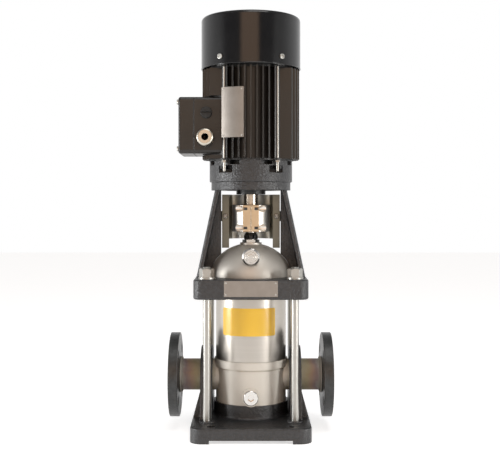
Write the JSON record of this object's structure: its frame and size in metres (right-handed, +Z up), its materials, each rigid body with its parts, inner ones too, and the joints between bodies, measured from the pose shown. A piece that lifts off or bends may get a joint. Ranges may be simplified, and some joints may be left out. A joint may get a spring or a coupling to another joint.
{
  "type": "vertical multistage pump",
  "caption": "Vertical in-line multistage centrifugal pump with flanged ports, staybolted stainless sleeve, motor stool, clamp coupling and finned electric motor.",
  "frame": {"origin": "on the floor under the middle of the base plate, where the shaft's axis meets it", "axes": "+Z up along the shaft, +X towards the discharge port, -Y towards the front with the nameplates"},
  "size_m": [0.28, 0.248, 0.711],
  "materials": {
    "cast_black": "black paint over rough sand casting, satin",
    "stainless_cast": "machined and blasted stainless casting",
    "stainless_blasted": "bead-blasted stainless casting, satin",
    "stainless_satin": "satin stainless sheet, faint circular brushing",
    "stainless_bright": "turned bright stainless",
    "flange_black": "black paint, satin, worn at the rim",
    "zinc_steel": "bright zinc plating",
    "label_yellow": "yellow film, blank",
    "plate_silver": "plain satin plate, blank",
    "seal_rubber": "black rubber",
    "seal_carbide": "lapped dark carbide",
    "seal_black": "black oxide",
    "seal_polymer": "pale polymer",
    "coupling_steel": "polished, warm tint",
    "screw_black": "black oxide",
    "guard_polished": "bright polished stainless sheet",
    "shaft_steel": "ground steel",
    "bearing_steel": "ground steel",
    "motor_casting": "black paint, bare where machined",
    "motor_black": "black paint, satin",
    "cover_black": "gloss black enamel",
    "lamination": "stacked electrical sheet",
    "winding_copper": "enamelled copper wire",
    "fan_plastic": "moulded plastic",
    "board_plastic": "moulded board",
    "nickel_brass": "nickel plating",
    "plug_plastic": "black moulded plastic"
  },
  "bodies": {
    "pump": {"base_plate": "cast_black", "inlet_outlet_chamber": "stainless_cast", "discharge_flange": "flange_black", "suction_flange": "flange_black", "drain_plug": "stainless_bright", "outer_sleeve": "stainless_satin", "sleeve_gaskets": "seal_rubber", "sleeve_label": "label_yellow", "staybolts": "zinc_steel", "staybolt_washers": "zinc_steel", "staybolt_nuts": "zinc_steel", "motor_stool": "cast_black", "head_nameplate": "plate_silver", "pump_head": "stainless_blasted", "vent_plug": "stainless_bright", "seal_gland": "stainless_bright", "seal_seat": "seal_carbide", "stage_chambers": "stainless_satin", "neck_rings": "seal_polymer", "stack_spacer": "stainless_satin", "shaft_bush": "seal_carbide", "coupling_guard": "guard_polished", "guard_screws": "zinc_steel", "bearing_outer_rings": "bearing_steel", "bearing_balls": "bearing_steel", "lower_end_shield": "motor_casting", "motor_frame": "motor_black", "stator_core": "lamination", "stator_windings": "winding_copper", "upper_end_shield": "motor_casting", "tie_rods": "zinc_steel", "motor_bolts": "screw_black", "motor_nameplate": "plate_silver", "fan_cover": "cover_black", "fan_cover_screws": "zinc_steel", "terminal_box": "motor_black", "terminal_board": "board_plastic", "terminal_gasket": "seal_rubber", "terminal_lid": "motor_black", "terminal_lid_screws": "zinc_steel", "cable_gland": "nickel_brass", "cable_gland_nut": "nickel_brass", "blanking_plug": "plug_plastic"},
    "rotor": {"impellers": "stainless_satin", "pump_shaft": "stainless_bright", "shaft_nut": "stainless_bright", "shaft_washer": "stainless_bright", "seal_rotating_ring": "seal_carbide", "seal_spring": "stainless_bright", "seal_driver": "seal_black", "coupling_halves": "coupling_steel", "coupling_screws": "screw_black", "coupling_nuts": "screw_black", "coupling_pin": "stainless_bright", "motor_shaft": "shaft_steel", "bearing_inner_rings": "bearing_steel", "rotor_core": "lamination", "cooling_fan": "fan_plastic"},
    "vent": {"vent_screw": "stainless_bright"}
  },
  "joints": [
    {"name": "rotor_spin", "type": "hinge", "parent": "pump", "child": "rotor", "pos_m": [0, 0, 0.3635], "axis": [0, 0, 1], "continuous": true},
    {"name": "vent_turn", "type": "hinge", "parent": "pump", "child": "vent", "pos_m": [0, -0.07108, 0.299], "axis": [0, -1, 0], "range_deg": [0, 360]}
  ]
}
